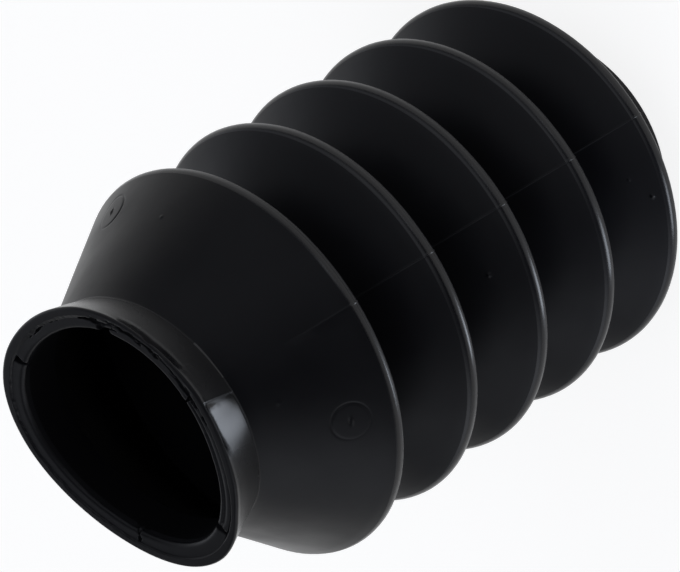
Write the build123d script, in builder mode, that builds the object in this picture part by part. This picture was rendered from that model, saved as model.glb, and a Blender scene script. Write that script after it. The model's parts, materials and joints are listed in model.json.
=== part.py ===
from build123d import *

import os
from math import asin, atan2, cos, hypot, radians, sin

# A rubber bellows boot: one moulded tube with a row of folds and a clamping collar at each end.
#
# Frame, in millimetres: the origin is the middle of the rear end face, which the boot stands on.
# +Z runs along the common axis of the folds to the front collar, and +X points at one of the two
# mould parting lines. The front collar leans towards -Y.

# ---------------------------------------------------------------- driving dimensions
# the folds
CREST_COUNT = 5
CREST_RADIUS = 45.0
ROOT_RADIUS = 29.0
PITCH = 23.5
CREST_ROUND = 1.4
ROOT_ROUND = 1.6
INNER_CREST_ROUND = 0.6
WALL = 1.8

# the bore, the same in both collars
BORE_RADIUS = 26.0

# rear collar, from the standing face to the last crest, with a small lip at its end
REAR_LENGTH = 17.5
REAR_LIP_WIDTH = 1.4
REAR_LIP_PROUD = 0.8

# front collar, from the first crest to the middle of the mouth
FRONT_LENGTH = 33.7
COLLAR_LENGTH = 9.7
COLLAR_WALL = 2.0
COLLAR_LEAN = 7.0  # degrees

# the mouth: a rounded outer ring, a groove, and an inner lip that notches cut through
MOUTH_RADIUS = 31.8  # where the flare and the mouth's face meet, before their edge is rounded
MOUTH_ROUND = 0.9
GROOVE_WIDTH = 0.8
GROOVE_DEPTH = 0.9
INNER_LIP_WIDTH = 2.6
INNER_LIP_DROP = 0.35
NOTCH_ANGLES = (-131.5, -71.5, 0.5, 47.0, 118.5)  # degrees round from +X
NOTCH_WIDTH = 1.6
NOTCH_DEPTH = 1.8

# ---------------------------------------------------------------- heights and radii that follow
HALF_PITCH = PITCH / 2
CRESTS = [REAR_LENGTH + number * PITCH for number in range(CREST_COUNT)]
REAR_ROOT = REAR_LENGTH - HALF_PITCH
MOUTH_HEIGHT = CRESTS[-1] + FRONT_LENGTH
CONE_LENGTH = FRONT_LENGTH - COLLAR_LENGTH

# A flank is the straight line that touches a crest's arc on one side and a root's on the other.
CREST_CENTRE = CREST_RADIUS - CREST_ROUND
ROOT_CENTRE = ROOT_RADIUS + ROOT_ROUND
CENTRE_DROP = CREST_CENTRE - ROOT_CENTRE
FLANK_ANGLE = atan2(HALF_PITCH, CENTRE_DROP) - asin(
    (CREST_ROUND + ROOT_ROUND) / hypot(HALF_PITCH, CENTRE_DROP)
)

# The inner skin lies one wall inside the flanks, and bends around the same root centres.
INNER_ROOT_ROUND = ROOT_ROUND + WALL
INNER_CREST_CENTRE = CREST_CENTRE - (WALL - CREST_ROUND + INNER_CREST_ROUND) / sin(FLANK_ANGLE)

COLLAR_RADIUS = BORE_RADIUS + COLLAR_WALL
INNER_LIP_RADIUS = BORE_RADIUS + INNER_LIP_WIDTH
GROOVE_RADIUS = INNER_LIP_RADIUS + GROOVE_WIDTH

# ---------------------------------------------------------------- frame of the leaning collar
lean = radians(COLLAR_LEAN)
mouth_plane = Plane(
    origin=(0, 0, MOUTH_HEIGHT), x_dir=(1, 0, 0), z_dir=(0, -sin(lean), cos(lean))
)
collar_base = mouth_plane.offset(-COLLAR_LENGTH)
collar_section = Plane(
    origin=mouth_plane.origin, x_dir=mouth_plane.x_dir, z_dir=-mouth_plane.y_dir
)
collar_axis = Axis(mouth_plane.origin, mouth_plane.z_dir)


def bend(centre_radius, height, rounding, facing, angle=FLANK_ANGLE):
    """Start, middle and end of the arc over a crest (facing 1) or under a root (facing -1)."""
    reach = facing * rounding * sin(angle)
    rise = rounding * cos(angle)
    return (
        (centre_radius + reach, height - rise),
        (centre_radius + facing * rounding, height),
        (centre_radius + reach, height + rise),
    )


def cone_start(crest_centre, crest_round, end_radius):
    """Point where the front cone's line to the collar's base touches the first crest's arc."""
    drop = crest_centre - end_radius
    angle = atan2(CONE_LENGTH, drop) - asin(crest_round / hypot(CONE_LENGTH, drop))
    return bend(crest_centre, CRESTS[-1], crest_round, 1, angle)[2]


def draw_folds(crest_centre, crest_round, root_round, cone):
    """Inside a BuildLine, one skin of the folds, from the rear root to where the cone starts."""
    rear = bend(ROOT_CENTRE, REAR_ROOT, root_round, -1)
    TangentArc(rear[1], rear[2], tangent=(0, 1))
    here = rear[2]
    for height in CRESTS[:-1]:
        crest = bend(crest_centre, height, crest_round, 1)
        root = bend(ROOT_CENTRE, height + HALF_PITCH, root_round, -1)
        Line(here, crest[0])
        ThreePointArc(*crest)
        Line(crest[2], root[0])
        ThreePointArc(*root)
        here = root[2]
    crest = bend(crest_centre, CRESTS[-1], crest_round, 1)
    Line(here, crest[0])
    ThreePointArc(crest[0], crest[1], cone)
    Polyline(cone, (0, cone[1]), (0, 0))
    return rear[1]


# ---------------------------------------------------------------- the space inside
# The inner skin of the folds, closed off flat at the standing face and at the cone's start.
inner_cone = cone_start(INNER_CREST_CENTRE, INNER_CREST_ROUND, BORE_RADIUS)
with BuildPart() as cavity:
    with BuildSketch(Plane.XZ):
        with BuildLine():
            inner_root = draw_folds(
                INNER_CREST_CENTRE, INNER_CREST_ROUND, INNER_ROOT_ROUND, inner_cone
            )
            shoulder = REAR_ROOT - (inner_root[0] - BORE_RADIUS)
            Polyline((0, 0), (BORE_RADIUS, 0), (BORE_RADIUS, shoulder), inner_root)
        make_face()
    revolve(axis=Axis.Z)
    with BuildSketch(Plane.XY.offset(inner_cone[1])):
        Circle(inner_cone[0])
    with BuildSketch(collar_base):
        Circle(BORE_RADIUS)
    loft(ruled=True)

# ---------------------------------------------------------------- the boot
outer_cone = cone_start(CREST_CENTRE, CREST_ROUND, COLLAR_RADIUS)
with BuildPart() as bellows_boot:
    # the folds and the rear collar
    with BuildSketch(Plane.XZ):
        with BuildLine():
            outer_root = draw_folds(CREST_CENTRE, CREST_ROUND, ROOT_ROUND, outer_cone)
            lip = ROOT_RADIUS + REAR_LIP_PROUD
            Polyline(
                (0, 0),
                (lip, 0),
                (lip, REAR_LIP_WIDTH),
                (ROOT_RADIUS, REAR_LIP_WIDTH + REAR_LIP_PROUD),
                outer_root,
            )
        make_face()
    revolve(axis=Axis.Z)

    # the front cone, from the round first crest to the leaning collar
    with BuildSketch(Plane.XY.offset(outer_cone[1])):
        Circle(outer_cone[0])
    with BuildSketch(collar_base):
        Circle(COLLAR_RADIUS)
    loft(ruled=True)
    add(cavity.part, mode=Mode.SUBTRACT)

    # the front collar, flared to its mouth
    with BuildSketch(collar_section) as collar_ring:
        with BuildLine():
            Polyline(
                (BORE_RADIUS, -COLLAR_LENGTH),
                (COLLAR_RADIUS, -COLLAR_LENGTH),
                (MOUTH_RADIUS, 0),
                (GROOVE_RADIUS, 0),
                (GROOVE_RADIUS, -GROOVE_DEPTH),
                (INNER_LIP_RADIUS, -GROOVE_DEPTH),
                (INNER_LIP_RADIUS, -INNER_LIP_DROP),
                (BORE_RADIUS, -INNER_LIP_DROP),
                close=True,
            )
        make_face()
        fillet(collar_ring.vertices().sort_by(Axis.X)[-1], MOUTH_ROUND)
    revolve(axis=collar_axis)

    # the notches through the inner lip
    with BuildSketch(mouth_plane):
        for angle in NOTCH_ANGLES:
            with PolarLocations(BORE_RADIUS, 1, angle):
                Rectangle(2 * INNER_LIP_WIDTH, NOTCH_WIDTH)
    extrude(amount=-NOTCH_DEPTH, mode=Mode.SUBTRACT)

bellows_boot.part.label = "bellows_boot"

os.makedirs("parts", exist_ok=True)
export_step(bellows_boot.part, "parts/bellows_boot.step")
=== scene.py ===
"""Looks of a black rubber bellows boot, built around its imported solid.

The boot is one moulding, so a single skin stands for its one CAD node. The skin follows the same
section as the solid, ring by ring, and adds what is too fine for the solid: the parting lines, the
pin marks, the trimmed flash of the mouth and the slight unevenness of cured rubber.

Sizes are in millimetres. The straight frame is the row's own, with +Z along the folds; the leaning
frame has its origin in the middle of the mouth and its third axis out of the mouth.
"""

from __future__ import annotations

import json
import logging
import math
from collections.abc import Sequence
from dataclasses import dataclass, field
from enum import Enum

import bmesh
import bpy
import numpy as np
from mathutils import Matrix, Vector, noise


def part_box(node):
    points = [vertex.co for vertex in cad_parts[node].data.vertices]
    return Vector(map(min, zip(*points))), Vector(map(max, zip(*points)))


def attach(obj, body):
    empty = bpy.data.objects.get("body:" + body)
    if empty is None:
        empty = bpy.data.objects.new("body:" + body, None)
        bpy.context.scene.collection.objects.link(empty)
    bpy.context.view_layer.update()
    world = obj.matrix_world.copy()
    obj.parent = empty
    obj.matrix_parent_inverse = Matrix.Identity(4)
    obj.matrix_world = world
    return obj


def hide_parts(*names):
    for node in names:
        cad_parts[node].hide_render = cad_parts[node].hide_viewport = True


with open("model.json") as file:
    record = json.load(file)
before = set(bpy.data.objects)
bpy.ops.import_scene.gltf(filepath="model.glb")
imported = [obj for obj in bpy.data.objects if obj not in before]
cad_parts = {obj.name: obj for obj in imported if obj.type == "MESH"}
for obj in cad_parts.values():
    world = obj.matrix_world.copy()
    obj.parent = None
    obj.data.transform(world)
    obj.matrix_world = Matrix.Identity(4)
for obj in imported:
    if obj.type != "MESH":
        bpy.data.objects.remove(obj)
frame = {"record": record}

log = logging.getLogger("bellows_boot")

NODE = "bellows_boot"
BODY = "root"
MM = 0.001
RIDGE_ROOM = 0.19  # how far the plain crests stay inside the solid's, to leave the ridges room
ALL_LEANING = 0.999  # share of the leaning frame from which a point counts as wholly in it
PLAIN_CELL = 0.8  # longest edge in the mesh round the fine forms, in millimetres
COARSE = 99.0  # longest edge where the mesh needs no more points, in millimetres

Corner = tuple[float, float, float]  # radius, height and rounding of a corner of the section
Table = tuple[tuple[float, float], ...]  # places in rising order, and the value at each
MarkAxes = tuple[np.ndarray, np.ndarray, np.ndarray]  # a mark's middle, across and along


# ------------------------------------------------------------------------------ small helpers
def linear(hex_colour: str) -> tuple[float, float, float, float]:
    """Turn an sRGB hex colour into a linear one.

    Args:
        hex_colour: Six hex digits after a hash.

    Returns:
        Linear red, green and blue, and an alpha of 1.
    """
    parts = [int(hex_colour[i : i + 2], 16) / 255 for i in (1, 3, 5)]
    flat = [c / 12.92 if c <= 0.04045 else ((c + 0.055) / 1.055) ** 2.4 for c in parts]
    return (*flat, 1.0)


def add_node(
    tree: bpy.types.NodeTree, kind: str, inputs: dict | None = None, **settings: object
) -> bpy.types.Node:
    """Add a node with its settings, and set or link its inputs.

    Args:
        tree: Node tree that the node joins.
        kind: Node type's identifier.
        inputs: Value or output socket for each input, by name or number.
        **settings: Attributes to set on the node.

    Returns:
        The new node.
    """
    node = tree.nodes.new(kind)
    for name, value in settings.items():
        setattr(node, name, value)
    for name, value in (inputs or {}).items():
        if isinstance(value, bpy.types.NodeSocket):
            tree.links.new(value, node.inputs[name])
        else:
            node.inputs[name].default_value = value
    return node


def fresh_tree(owner: bpy.types.Material | bpy.types.World) -> bpy.types.NodeTree:
    """Switch on the nodes of a material or a world, and clear them.

    Args:
        owner: The material or the world.

    Returns:
        Its empty node tree.
    """
    owner.use_nodes = True
    owner.node_tree.nodes.clear()
    return owner.node_tree


def linked(name: str, data: bpy.types.ID) -> bpy.types.Object:
    """Make an object and link it to the scene.

    Args:
        name: The object's name.
        data: Its mesh, camera or lamp.

    Returns:
        The object.
    """
    made = bpy.data.objects.new(name, data)
    bpy.context.scene.collection.objects.link(made)
    return made


def smooth_object(name: str, mesh: bmesh.types.BMesh) -> bpy.types.Object:
    """Turn a finished bmesh into a smooth-shaded object, and free it.

    Args:
        name: Name of the object and of its mesh.
        mesh: The bmesh.

    Returns:
        The object.
    """
    data = bpy.data.meshes.new(name)
    mesh.to_mesh(data)
    mesh.free()
    data.shade_smooth()
    return linked(name, data)


def heading(azimuth: float, elevation: float) -> tuple[float, float, float]:
    """Turn an azimuth and an elevation in degrees into a direction."""
    a, e = math.radians(azimuth), math.radians(elevation)
    return math.cos(a) * math.cos(e), math.sin(a) * math.cos(e), math.sin(e)


def smooth_step(value: np.ndarray) -> np.ndarray:
    """Ease from 0 to 1 as value goes from 0 to 1."""
    t = np.clip(value, 0.0, 1.0)
    return t * t * (3.0 - 2.0 * t)


def rounded(corners: list[Corner], arc_step: float = 14.0) -> np.ndarray:
    """Draw a polyline with its corners rounded.

    Args:
        corners: The corners in order; the two ends aren't rounded.
        arc_step: Largest turn between two neighbouring points of an arc, in degrees.

    Returns:
        Radius and height of each point, one row each.
    """
    points = [corners[0][:2]]
    for before, corner, after in zip(corners, corners[1:], corners[2:]):
        here = np.array(corner[:2])
        back = np.array(before[:2]) - here
        ahead = np.array(after[:2]) - here
        back /= np.linalg.norm(back)
        ahead /= np.linalg.norm(ahead)
        half = math.acos(np.clip(back @ ahead, -1.0, 1.0)) / 2
        rounding = corner[2]
        nearly_straight = half > math.radians(89)
        if rounding == 0 or nearly_straight:
            points.append(tuple(here))
            continue
        middle = (back + ahead) / np.linalg.norm(back + ahead)
        centre = here + middle * rounding / math.sin(half)
        start = here + back * rounding / math.tan(half) - centre
        turn = math.pi - 2 * half
        if start[0] * back[1] - start[1] * back[0] > 0:
            turn = -turn
        steps = max(2, math.ceil(math.degrees(abs(turn)) / arc_step))
        for i in range(steps + 1):
            a = turn * i / steps
            spin = np.array([[math.cos(a), -math.sin(a)], [math.sin(a), math.cos(a)]])
            points.append(tuple(centre + spin @ start))
    points.append(corners[-1][:2])
    return np.array(points)


def filled_in(points: np.ndarray, longest: float) -> np.ndarray:
    """Add points so that no step of a polyline is longer than a limit.

    Args:
        points: Radius and height of each point.
        longest: The limit, in millimetres.

    Returns:
        The polyline with the added points.
    """
    out = [points[0]]
    for a, b in zip(points, points[1:]):
        count = max(1, math.ceil(float(np.linalg.norm(b - a)) / longest))
        out += [a + (b - a) * i / count for i in range(1, count + 1)]
    return np.array(out)


def waver(points: np.ndarray, size: float, seed: float = 0.0) -> np.ndarray:
    """Give each point a smooth random value, about -1 to 1.

    Args:
        points: Position of each point, in millimetres.
        size: Distance over which the value changes, in millimetres.
        seed: Number that sets this pattern apart from others.

    Returns:
        The value at each point.
    """
    shift = Vector((seed, 0.37 * seed, -0.61 * seed))
    return np.array([noise.noise(Vector(p) / size + shift) for p in points])


def read(table: Table, places: np.ndarray) -> np.ndarray:
    """Read a table at each place, in a straight line between its rows."""
    return np.interp(places, [row[0] for row in table], [row[1] for row in table])


def bump(distance: np.ndarray, width: float) -> np.ndarray:
    """Rise smoothly to 1 within about a width of where distance is 0."""
    return np.exp(-((distance / width) ** 2))


def turned(angle: np.ndarray, other: float) -> np.ndarray:
    """Difference of two angles in degrees, from -180 to 180."""
    return (angle - other + 180.0) % 360.0 - 180.0


# ------------------------------------------------------------------------------ the section
class Zone(Enum):
    """Stretch of the section that a ring of the skin belongs to."""

    OUTSIDE = 0
    BAND = 1
    MOUTH = 2
    BORE = 3
    INSIDE = 4


@dataclass
class Rings:
    """Rings of the skin in order, each round one point of the section."""

    straight: list[tuple[float, ...]] = field(default_factory=list)
    leaning: list[tuple[float, ...]] = field(default_factory=list)
    share: list[float] = field(default_factory=list)
    zone: list[int] = field(default_factory=list)

    def add(
        self, straight: Sequence[float], leaning: Sequence[float], share: float, zone: Zone
    ) -> None:
        """Add one ring.

        Args:
            straight: Radius and height in the straight frame.
            leaning: Radius and height in the leaning frame.
            share: How far the ring has gone over to the leaning frame, from 0 to 1.
            zone: Stretch that it belongs to.
        """
        self.straight.append(tuple(straight))
        self.leaning.append(tuple(leaning))
        self.share.append(share)
        self.zone.append(zone.value)

    def add_straight(self, points: np.ndarray, zone: Zone) -> None:
        """Add a ring for each point, all in the straight frame."""
        for p in points:
            self.add(p, (0.0, 0.0), 0.0, zone)

    def add_leaning(self, points: np.ndarray, zone: Zone) -> None:
        """Add a ring for each point, all in the leaning frame."""
        for p in points:
            self.add((0.0, 0.0), p, 1.0, zone)

    def add_reversed(self, other: Rings) -> None:
        """Add another set of rings, from its last ring to its first.

        Args:
            other: The other rings.
        """
        self.straight += other.straight[::-1]
        self.leaning += other.leaning[::-1]
        self.share += other.share[::-1]
        self.zone += other.zone[::-1]


@dataclass(frozen=True)
class FoldStack:
    """The row of folds: both skins between the rear collar and the first crest."""

    crest_radius: float
    crest_count: int = 5
    root_radius: float = 29.0
    pitch: float = 23.5
    crest_round: float = 1.9
    root_round: float = 1.6
    inner_crest_round: float = 0.6
    wall: float = 1.8
    rear_length: float = 17.5
    worn_depth: float = 1.0  # how far under its top a crest is rubbed
    worn_rear: float = 0.3  # and how far over onto its rear side

    @property
    def crests(self) -> list[float]:
        """Height of each crest, from the rear."""
        return [self.rear_length + i * self.pitch for i in range(self.crest_count)]

    @property
    def crest_centre(self) -> float:
        """Radius of the middle of a crest's arc."""
        return self.crest_radius - self.crest_round

    @property
    def root_centre(self) -> float:
        """Radius of the middle of a root's arc."""
        return self.root_radius + self.root_round

    @property
    def flank_angle(self) -> float:
        """Angle of a flank from the radial direction.

        Returns:
            The angle, in radians.
        """
        drop, rise = self.crest_centre - self.root_centre, self.pitch / 2
        rounds = self.crest_round + self.root_round
        return math.atan2(rise, drop) - math.asin(rounds / math.hypot(rise, drop))

    def apexes(self, inner: bool) -> tuple[float, float]:
        """Find where the flanks of one skin would meet if its bends were sharp.

        Args:
            inner: True for the inner skin.

        Returns:
            Radius of the crest's apex and of the root's.
        """
        sine = math.sin(self.flank_angle)
        offset = self.wall if inner else 0.0
        crest = self.crest_centre + (self.crest_round - offset) / sine
        root = self.root_centre - (self.root_round + offset) / sine
        return crest, root

    def cone_apex(self, inner: bool, end: tuple[float, float]) -> tuple[float, float]:
        """Find where the first crest's rear flank meets the line of the front cone.

        Args:
            inner: True for the inner skin.
            end: Radius and height where the cone ends.

        Returns:
            Radius and height of the meeting point.
        """
        height = self.crests[-1]
        crest, _ = self.apexes(inner)
        rounding = self.inner_crest_round if inner else self.crest_round
        centre = crest - rounding / math.sin(self.flank_angle)
        drop, rise = centre - end[0], end[1] - height
        angle = math.atan2(rise, drop) - math.asin(rounding / math.hypot(rise, drop))
        # both lines are straight in radius and height, and this is their meeting point
        flank, cone = math.tan(self.flank_angle), math.tan(angle)
        radius = (end[1] + cone * end[0] - height + flank * crest) / (flank + cone)
        return radius, end[1] - cone * (radius - end[0])

    def corners(self, inner: bool, cone_end: tuple[float, float]) -> list[Corner]:
        """List the corners of one skin of the folds, from the rear.

        Args:
            inner: True for the inner skin.
            cone_end: Radius and height where the front cone ends.

        Returns:
            The corners, with the cone's end last.
        """
        crest, root = self.apexes(inner)
        crest_round = self.inner_crest_round if inner else self.crest_round
        root_round = self.root_round + (self.wall if inner else 0.0)
        out = []
        for height in self.crests[:-1]:
            out.append((crest, height, crest_round))
            out.append((root, height + self.pitch / 2, root_round))
        out.append((*self.cone_apex(inner, cone_end), crest_round))
        out.append((*cone_end, 0.0))
        return out


@dataclass(frozen=True)
class Notch:
    """A notch torn through the mouth's inner lip where a gate of the mould was pulled off."""

    angle: float
    inner_width: float
    outer_width: float
    depth: float
    ragged: float = 0.0
    shift: float = 0.35  # how far full raggedness moves a wall, in millimetres
    swell: float = 0.5  # share by which it widens or narrows the notch


@dataclass(frozen=True)
class MouthWear:
    """How the mouth's groove and lip change round the mouth; the tables go by degrees."""

    openness: Table = (
        (-180, 0.15), (-136, 0.12), (-127, 0.0), (-78, 0.0), (-70, 0.6), (-8, 0.7), (0, 0.3),
        (48, 0.2), (54, 0.05), (99, 0.05), (104, 0.0), (115, 0.0), (121, 0.1), (150, 0.2),
        (180, 0.15),
    )
    open_limits: tuple[float, float] = (0.005, 1.3)
    raggedness: Table = (
        (-180, 0.8), (-135, 0.8), (-125, 0.0), (-76, 0.0), (-60, 0.2), (-12, 0.3), (0, 0.7),
        (50, 0.8), (56, 0.5), (98, 0.4), (104, 0.0), (118, 0.0), (124, 0.8), (180, 0.8),
    )
    ragged_gains: tuple[float, float] = (1.4, 0.5)  # of the fine and the slow pattern
    ragged_from: float = 0.3  # raggedness from which the mesh is finer
    narrowed: Table = (
        (-180, 0.45), (-134, 0.45), (-120, 0.6), (-80, 0.6), (-70, 0.4), (-10, 0.4), (0, 0.0),
        (100, 0.0), (121, 0.45), (180, 0.45),
    )
    spread_width: float = 0.8
    torn: Table = (
        (-180, -1.0), (-20, -1.0), (-10, 0.1), (4, 0.5), (12, 0.1), (20, 0.3), (32, 0.5),
        (46, 0.9), (52, 0.4), (62, 0.15), (97, 0.15), (103, -1.0), (180, -1.0),
    )
    torn_from: float = -0.5  # value in the table from which the flash is torn at all
    torn_radius: float = 28.7
    torn_reach: Table = (
        (-180, 0.9), (-16, 0.9), (-4, 1.0), (6, 1.2), (46, 1.2), (54, 0.7), (62, 0.4), (180, 0.4),
    )
    torn_depth: float = 0.6
    torn_grain: tuple[float, float] = (2.4, 0.9)  # size along and across the groove
    torn_patterns: tuple[tuple[float, float, float], ...] = (  # strength, size and seed
        (1.3, 1.0, 21.0), (0.7, 0.4, 27.0),
    )
    torn_wander: tuple[float, float, float] = (0.3, 2.5, 33.0)  # distance, size and seed
    torn_gather: float = 1.2
    torn_edge: float = 0.3
    torn_clear: float = 0.4  # how far the pits keep off the bore
    crease: Table = (
        (-180, 0.0), (-74, 0.0), (-68, 1.0), (-10, 1.0), (4, 0.0), (180, 0.0),
    )
    crease_radius: float = 27.5
    crease_width: float = 0.22
    crease_depth: float = 0.3
    crease_wander: float = 0.08
    crease_clear: float = 0.3
    patterns: Table = ((1.1, 3.0), (4.4, 9.0))  # size and seed of the fine and the slow one
    tear: float = 0.3  # how far the groove's outer edge is torn
    tear_gain: float = 0.6  # of the slow pattern in it
    tear_width: float = 0.9
    nibble: float = 0.16  # how far the hole's edge is nibbled
    nibble_least: float = 0.3
    nibble_width: float = 0.7
    fade: tuple[float, float] = (2.5, 1.5)  # depth at which both have gone, and over how much

    @staticmethod
    def at(table: Table, angle: np.ndarray) -> np.ndarray:
        """Read a table at angles in radians."""
        return read(table, turned(np.degrees(angle), 0.0))

    def is_torn(self, angle: np.ndarray) -> np.ndarray:
        """True for the angles, in radians, at which the flash is torn."""
        return self.at(self.torn, angle) > self.torn_from

    def pits(self, radius: np.ndarray, angle: np.ndarray) -> np.ndarray:
        """Say where the flash along the groove is torn into pits.

        Args:
            radius: Radius of each point in the leaning frame.
            angle: Angle of each point, in radians.

        Returns:
            How deep each point lies in a pit, from 0 to 1.
        """
        along, across = self.torn_grain
        turn = self.torn_radius / along
        spots = np.stack([turn * np.cos(angle), turn * np.sin(angle), radius / across], axis=1)
        rough = sum(strength * waver(spots, *kind) for strength, *kind in self.torn_patterns)
        wander, *kind = self.torn_wander
        line = self.torn_radius + wander * waver(spots, *kind)
        away = (radius - line) / self.at(self.torn_reach, angle)
        fill = rough + self.at(self.torn, angle) - self.torn_gather * away**2
        return smooth_step(fill / self.torn_edge)


@dataclass(frozen=True)
class FrontCollar:
    """The leaning collar at the front: its band, and its mouth with groove, lip and notches."""

    bore_radius: float
    front_length: float = 33.7
    length: float = 9.7
    wall: float = 2.0
    mouth_radius: float = 31.62
    mouth_round: float = 0.5
    groove_width: float = 0.8
    groove_depth: float = 0.9
    lip_width: float = 2.6
    lip_drop: float = 0.35
    edge_round: float = 0.25
    bore_round: float = 0.9
    groove_margin: float = 0.2  # how far onto the lip the groove's change of depth reaches
    notch_edge: float = 0.25
    notch_reach: float = 6.0
    wall_margin: float = 0.05
    least_depth: float = 0.05  # the groove counts as at least this deep beside a notch
    notches: tuple[Notch, ...] = (
        Notch(-131.5, 0.8, 0.6, 1.0, 1.6),
        Notch(-71.5, 2.1, 0.9, 1.8, 0.5),
        Notch(0.5, 0.3, 1.6, 1.4, 1.2),
        Notch(47.0, 2.2, 3.2, 1.8, 1.3),
        Notch(118.5, 0.4, 2.3, 1.8, 0.3),
    )
    wear: MouthWear = MouthWear()
    face_depth: float = 1.5  # how far under the mouth the groove and the crease reach
    wear_depth: float = 1.9  # how far under the mouth the torn forms reach
    wear_reach: float = 0.9  # how far outside the groove they reach
    snug: float = 0.02  # within this a ring lies on the lip's edge
    sunk_margin: float = 0.35  # how far outside the groove the skin can count as sunk
    oval: tuple[tuple[int, float, float], ...] = ((2, 0.0202, 30.0), (3, 0.0388, 30.0))
    sag: tuple[float, float] = (-0.37, 0.9)
    base_set: float = 0.35  # share of both that the band's base has
    ring_depth: float = 1.2  # how deep the outer ring reaches
    band_skin: float = 0.3  # how far under the band a ring still counts as the band
    rim_set: Table = (
        (-180, 0.0), (-85, 0.0), (-57, -0.6), (-40, 0.0), (-22, 0.0), (-8, -0.1), (2, -0.4),
        (14, -1.0), (26, -1.2), (39, -0.9), (60, -0.3), (90, 0.0), (180, 0.0),
    )
    ragged_cell: float = 0.4
    torn_cell: float = 0.22
    deep_cell: float = 0.9
    cell_margin: float = 0.4
    cell_depths: tuple[float, float] = (1.6, 2.0)  # of the fine mesh, and in a notch
    cell_reaches: tuple[float, float, float] = (0.5, 2.0, 0.5)  # beside crease, flash and notch

    @property
    def base_radius(self) -> float:
        """Outer radius where the band meets the cone."""
        return self.bore_radius + self.wall

    @property
    def lip_radius(self) -> float:
        """Outer radius of the inner lip."""
        return self.bore_radius + self.lip_width

    @property
    def groove_radius(self) -> float:
        """Outer radius of the groove."""
        return self.lip_radius + self.groove_width

    def band_corners(self) -> list[Corner]:
        """List the corners from the band's base over the mouth into the bore, leaning frame.

        Returns:
            The corners in order.
        """
        fine = self.edge_round / 2
        return [
            (self.base_radius, -self.length, 0.0),
            (self.mouth_radius, 0.0, self.mouth_round),
            (self.groove_radius, 0.0, self.edge_round),
            (self.groove_radius, -self.groove_depth, fine),
            (self.lip_radius, -self.groove_depth, fine),
            (self.lip_radius, -self.lip_drop, fine),
            (self.bore_radius, -self.lip_drop, self.bore_round),
            (self.bore_radius, -self.length, 0.0),
        ]

    def trimmed(
        self, radius: np.ndarray, height: np.ndarray, angle: np.ndarray
    ) -> tuple[np.ndarray, np.ndarray]:
        """Work the mouth's groove, crease, notches and torn edges into the skin.

        Args:
            radius: Radius of each point in the leaning frame.
            height: Height of each point in the leaning frame.
            angle: Angle of each point, in radians.

        Returns:
            The new radii and heights.
        """
        out_radius, out_height = radius.copy(), height.copy()
        inside = radius < self.groove_radius + self.wear_reach
        near = np.flatnonzero(inside & (height > -self.notch_reach))
        if not len(near):
            return out_radius, out_height
        wear = self.wear
        r, h, a = radius[near], height[near], angle[near]
        flat = np.stack([r * np.cos(a), r * np.sin(a), np.zeros(len(r))], axis=1)
        rough, slow = (waver(flat, *kind) for kind in wear.patterns)
        ragged = wear.at(wear.raggedness, a)

        # the groove, deep in one stretch, half closed or closed in others
        fine_gain, slow_gain = wear.ragged_gains
        share = wear.at(wear.openness, a)
        share = share * (1 + ragged * (fine_gain * rough + slow_gain * slow))
        share = np.clip(share, *wear.open_limits)
        step = np.clip((self.groove_radius - r) / self.groove_width, 0.0, 1.0)
        top = -self.lip_drop * step
        in_groove = (r > self.lip_radius - self.groove_margin) & (h > -self.face_depth)
        h = np.where(in_groove, top + (h - top) * share, h)
        floor = -self.lip_drop - (self.groove_depth - self.lip_drop) * share

        # a fine crease along the middle of the lip
        on_lip = (r <= self.lip_radius + self.snug) & (r > self.bore_radius + wear.crease_clear)
        line = wear.crease_radius + wear.crease_wander * slow
        crease = wear.at(wear.crease, a) * bump(r - line, wear.crease_width)
        h = np.where(on_lip & (h > -self.face_depth), h - wear.crease_depth * crease, h)

        # the notches, each from the bore through the lip into the groove
        notched = np.zeros(len(r))
        for notch in self.notches:
            away = a - math.radians(notch.angle)
            beside = np.abs(r * np.sin(away) + notch.shift * notch.ragged * rough)
            out_share = np.clip((r - self.bore_radius) / self.lip_width, 0.0, 1.0)
            width = notch.inner_width + (notch.outer_width - notch.inner_width) * out_share
            width = width * (1 + notch.swell * notch.ragged * slow)
            cut = smooth_step((width / 2 - beside) / self.notch_edge + 0.5) * (np.cos(away) > 0)
            bottom = -self.lip_drop - (notch.depth - self.lip_drop) * cut
            wall = (self.notch_reach + bottom) / (self.notch_reach - self.lip_drop)
            lowered = bottom + (h + self.lip_drop) * wall
            plain = np.minimum(floor + self.lip_drop, -self.least_depth)
            t = np.clip((h + self.lip_drop) / plain, 0.0, 1.0)
            outer_wall = bottom + (floor - bottom) * t
            moved = np.where(r > self.lip_radius - self.wall_margin, outer_wall, lowered)
            h = np.where((r <= self.lip_radius + self.snug) & (cut > 0), moved, h)
            notched = np.maximum(notched, cut)

        # the pits of the torn flash
        pitted = (r > self.bore_radius + wear.torn_clear) & (h > -self.wear_depth)
        pits = wear.pits(r, a) * (1 - notched)
        h = np.where(pitted, h - wear.torn_depth * pits, h)

        # the lip's outer edge has spread into the groove
        spread = wear.at(wear.narrowed, a) * (h > -self.wear_depth)
        inward = np.clip((r - self.lip_radius + wear.spread_width) / wear.spread_width, 0.0, 1.0)
        outward = np.clip((self.groove_radius - r) / self.groove_width, 0.0, 1.0)
        r = r + spread * np.minimum(smooth_step(inward), outward)

        # the torn edges of the groove and of the hole, which fade out down the bore
        at_groove = bump(r - self.groove_radius, wear.tear_width)
        at_hole = bump(r - self.bore_radius, wear.nibble_width)
        shift = wear.tear * ragged * (rough + wear.tear_gain * slow) * at_groove
        shift += wear.nibble * (wear.nibble_least + ragged) * rough * at_hole
        gone, over = wear.fade
        out_radius[near] = r + shift * smooth_step((h + gone) / over)
        out_height[near] = h
        return out_radius, out_height

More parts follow.
